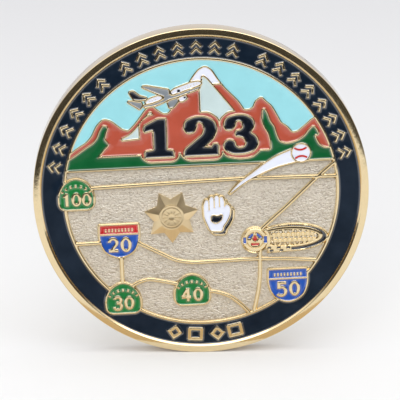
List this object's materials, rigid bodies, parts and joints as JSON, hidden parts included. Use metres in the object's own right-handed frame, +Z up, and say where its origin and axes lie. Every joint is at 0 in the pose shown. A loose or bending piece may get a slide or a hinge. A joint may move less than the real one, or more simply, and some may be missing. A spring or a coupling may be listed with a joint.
{
  "type": "challenge coin",
  "caption": "Round struck challenge coin with raised gold lines, a sandblasted field and colour enamel fills showing a mountain scene; for display or handing over.",
  "frame": {"origin": "bottom centre of the bounding box: the lowest point of the edge, half way through the thickness", "axes": "the coin stands on its edge: +Z up through the picture, +X to the right of the picture, -Y out of the obverse, +Y out of the reverse"},
  "size_m": [0.0508, 0.0036, 0.0508],
  "materials": {
    "gold_plate": "bright gold plating on the raised lines, sandblasted field",
    "navy_enamel": "glossy cured soft enamel",
    "sky_enamel": "glossy cured soft enamel",
    "terracotta_enamel": "glossy cured soft enamel",
    "white_enamel": "glossy cured soft enamel",
    "ice_enamel": "glossy cured soft enamel",
    "green_enamel": "glossy cured soft enamel",
    "marker_green_enamel": "glossy cured soft enamel",
    "black_enamel": "glossy cured soft enamel",
    "grey_enamel": "glossy cured soft enamel",
    "red_enamel": "glossy cured soft enamel",
    "blue_enamel": "glossy cured soft enamel"
  },
  "bodies": {
    "root": {"coin_body": "gold_plate", "enamel_airliner_fin": "black_enamel", "enamel_airliner_hull": "white_enamel", "enamel_airliner_wings": "grey_enamel", "enamel_ball": "white_enamel", "enamel_ball_stitches": "red_enamel", "enamel_ball_trail": "white_enamel", "enamel_checks": "black_enamel", "enamel_emblem_blue": "blue_enamel", "enamel_emblem_red": "red_enamel", "enamel_engine_mouths": "black_enamel", "enamel_figure_one": "black_enamel", "enamel_figure_three": "black_enamel", "enamel_figure_two": "black_enamel", "enamel_glacier": "ice_enamel", "enamel_marker_centre": "marker_green_enamel", "enamel_marker_south": "marker_green_enamel", "enamel_marker_west": "marker_green_enamel", "enamel_meadow": "green_enamel", "enamel_mitt": "white_enamel", "enamel_mitt_pocket": "black_enamel", "enamel_mitt_shadow": "black_enamel", "enamel_mountains": "terracotta_enamel", "enamel_navy_ring": "navy_enamel", "enamel_oval_ring": "black_enamel", "enamel_shield_east_band": "blue_enamel", "enamel_shield_east_field": "blue_enamel", "enamel_shield_west_band": "red_enamel", "enamel_shield_west_field": "blue_enamel", "enamel_sky": "sky_enamel", "enamel_snow_cap": "white_enamel", "enamel_west_snow": "ice_enamel"}
  },
  "joints": []
}
